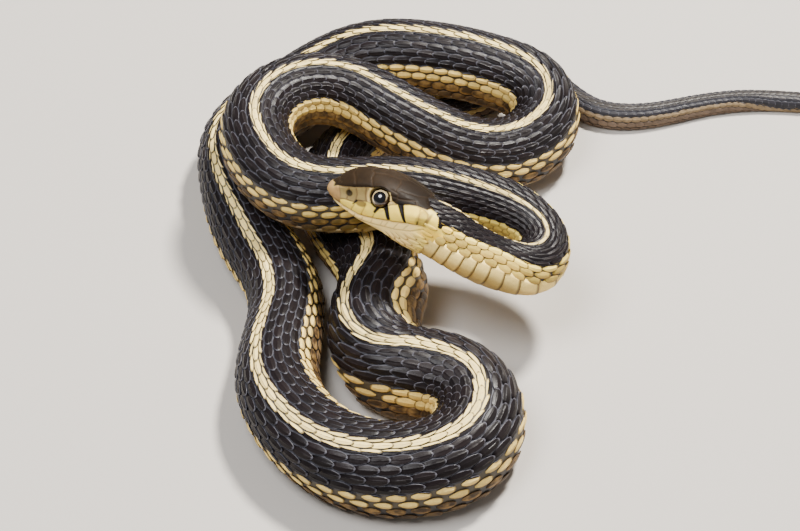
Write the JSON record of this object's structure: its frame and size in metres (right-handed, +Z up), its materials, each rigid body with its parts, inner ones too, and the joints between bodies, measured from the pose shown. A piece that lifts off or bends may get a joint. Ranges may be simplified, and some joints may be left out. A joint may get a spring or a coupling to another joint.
{
  "type": "garter snake",
  "caption": "Garter snake resting in loose raised loops with its head held over them, dark with pale stripes along the back and sides, a still life-size model.",
  "frame": {"origin": "the middle of the bounding box's bottom, on the ground under the loops", "axes": "+Z up; +X along the longest extent, from the raised head's side to the tail's tip; +Y away from the side that the front loop lies on"},
  "size_m": [0.1716, 0.1274, 0.0382],
  "materials": {
    "head_skin": "smooth head shields, brown above and cream below",
    "eye": "wet, dark, round pupil with a pale ring",
    "neck_skin": "keeled scales, black above with yellow flanks",
    "body_skin": "keeled black scales with cream stripes",
    "tail_skin": "keeled dark grey scales with cream stripes"
  },
  "bodies": {
    "root": {"head": "head_skin", "eye_left": "eye", "eye_right": "eye", "neck": "neck_skin", "body_01_hairpin": "body_skin", "body_02_behind_head": "body_skin", "body_03_left_loop": "body_skin", "body_04_descent": "body_skin", "body_05_right_loop": "body_skin", "body_06_top": "body_skin", "body_07_top_left": "body_skin", "body_08_left_side": "body_skin", "body_09_left_side_middle": "body_skin", "body_10_left_side_front": "body_skin", "body_11_front_loop": "body_skin", "body_12_return": "body_skin", "body_13_return_middle": "body_skin", "body_14_return_back": "body_skin", "tail_1_root": "tail_skin", "tail_2_bend": "tail_skin", "tail_3_middle": "tail_skin", "tail_4_tip": "tail_skin"}
  },
  "joints": []
}
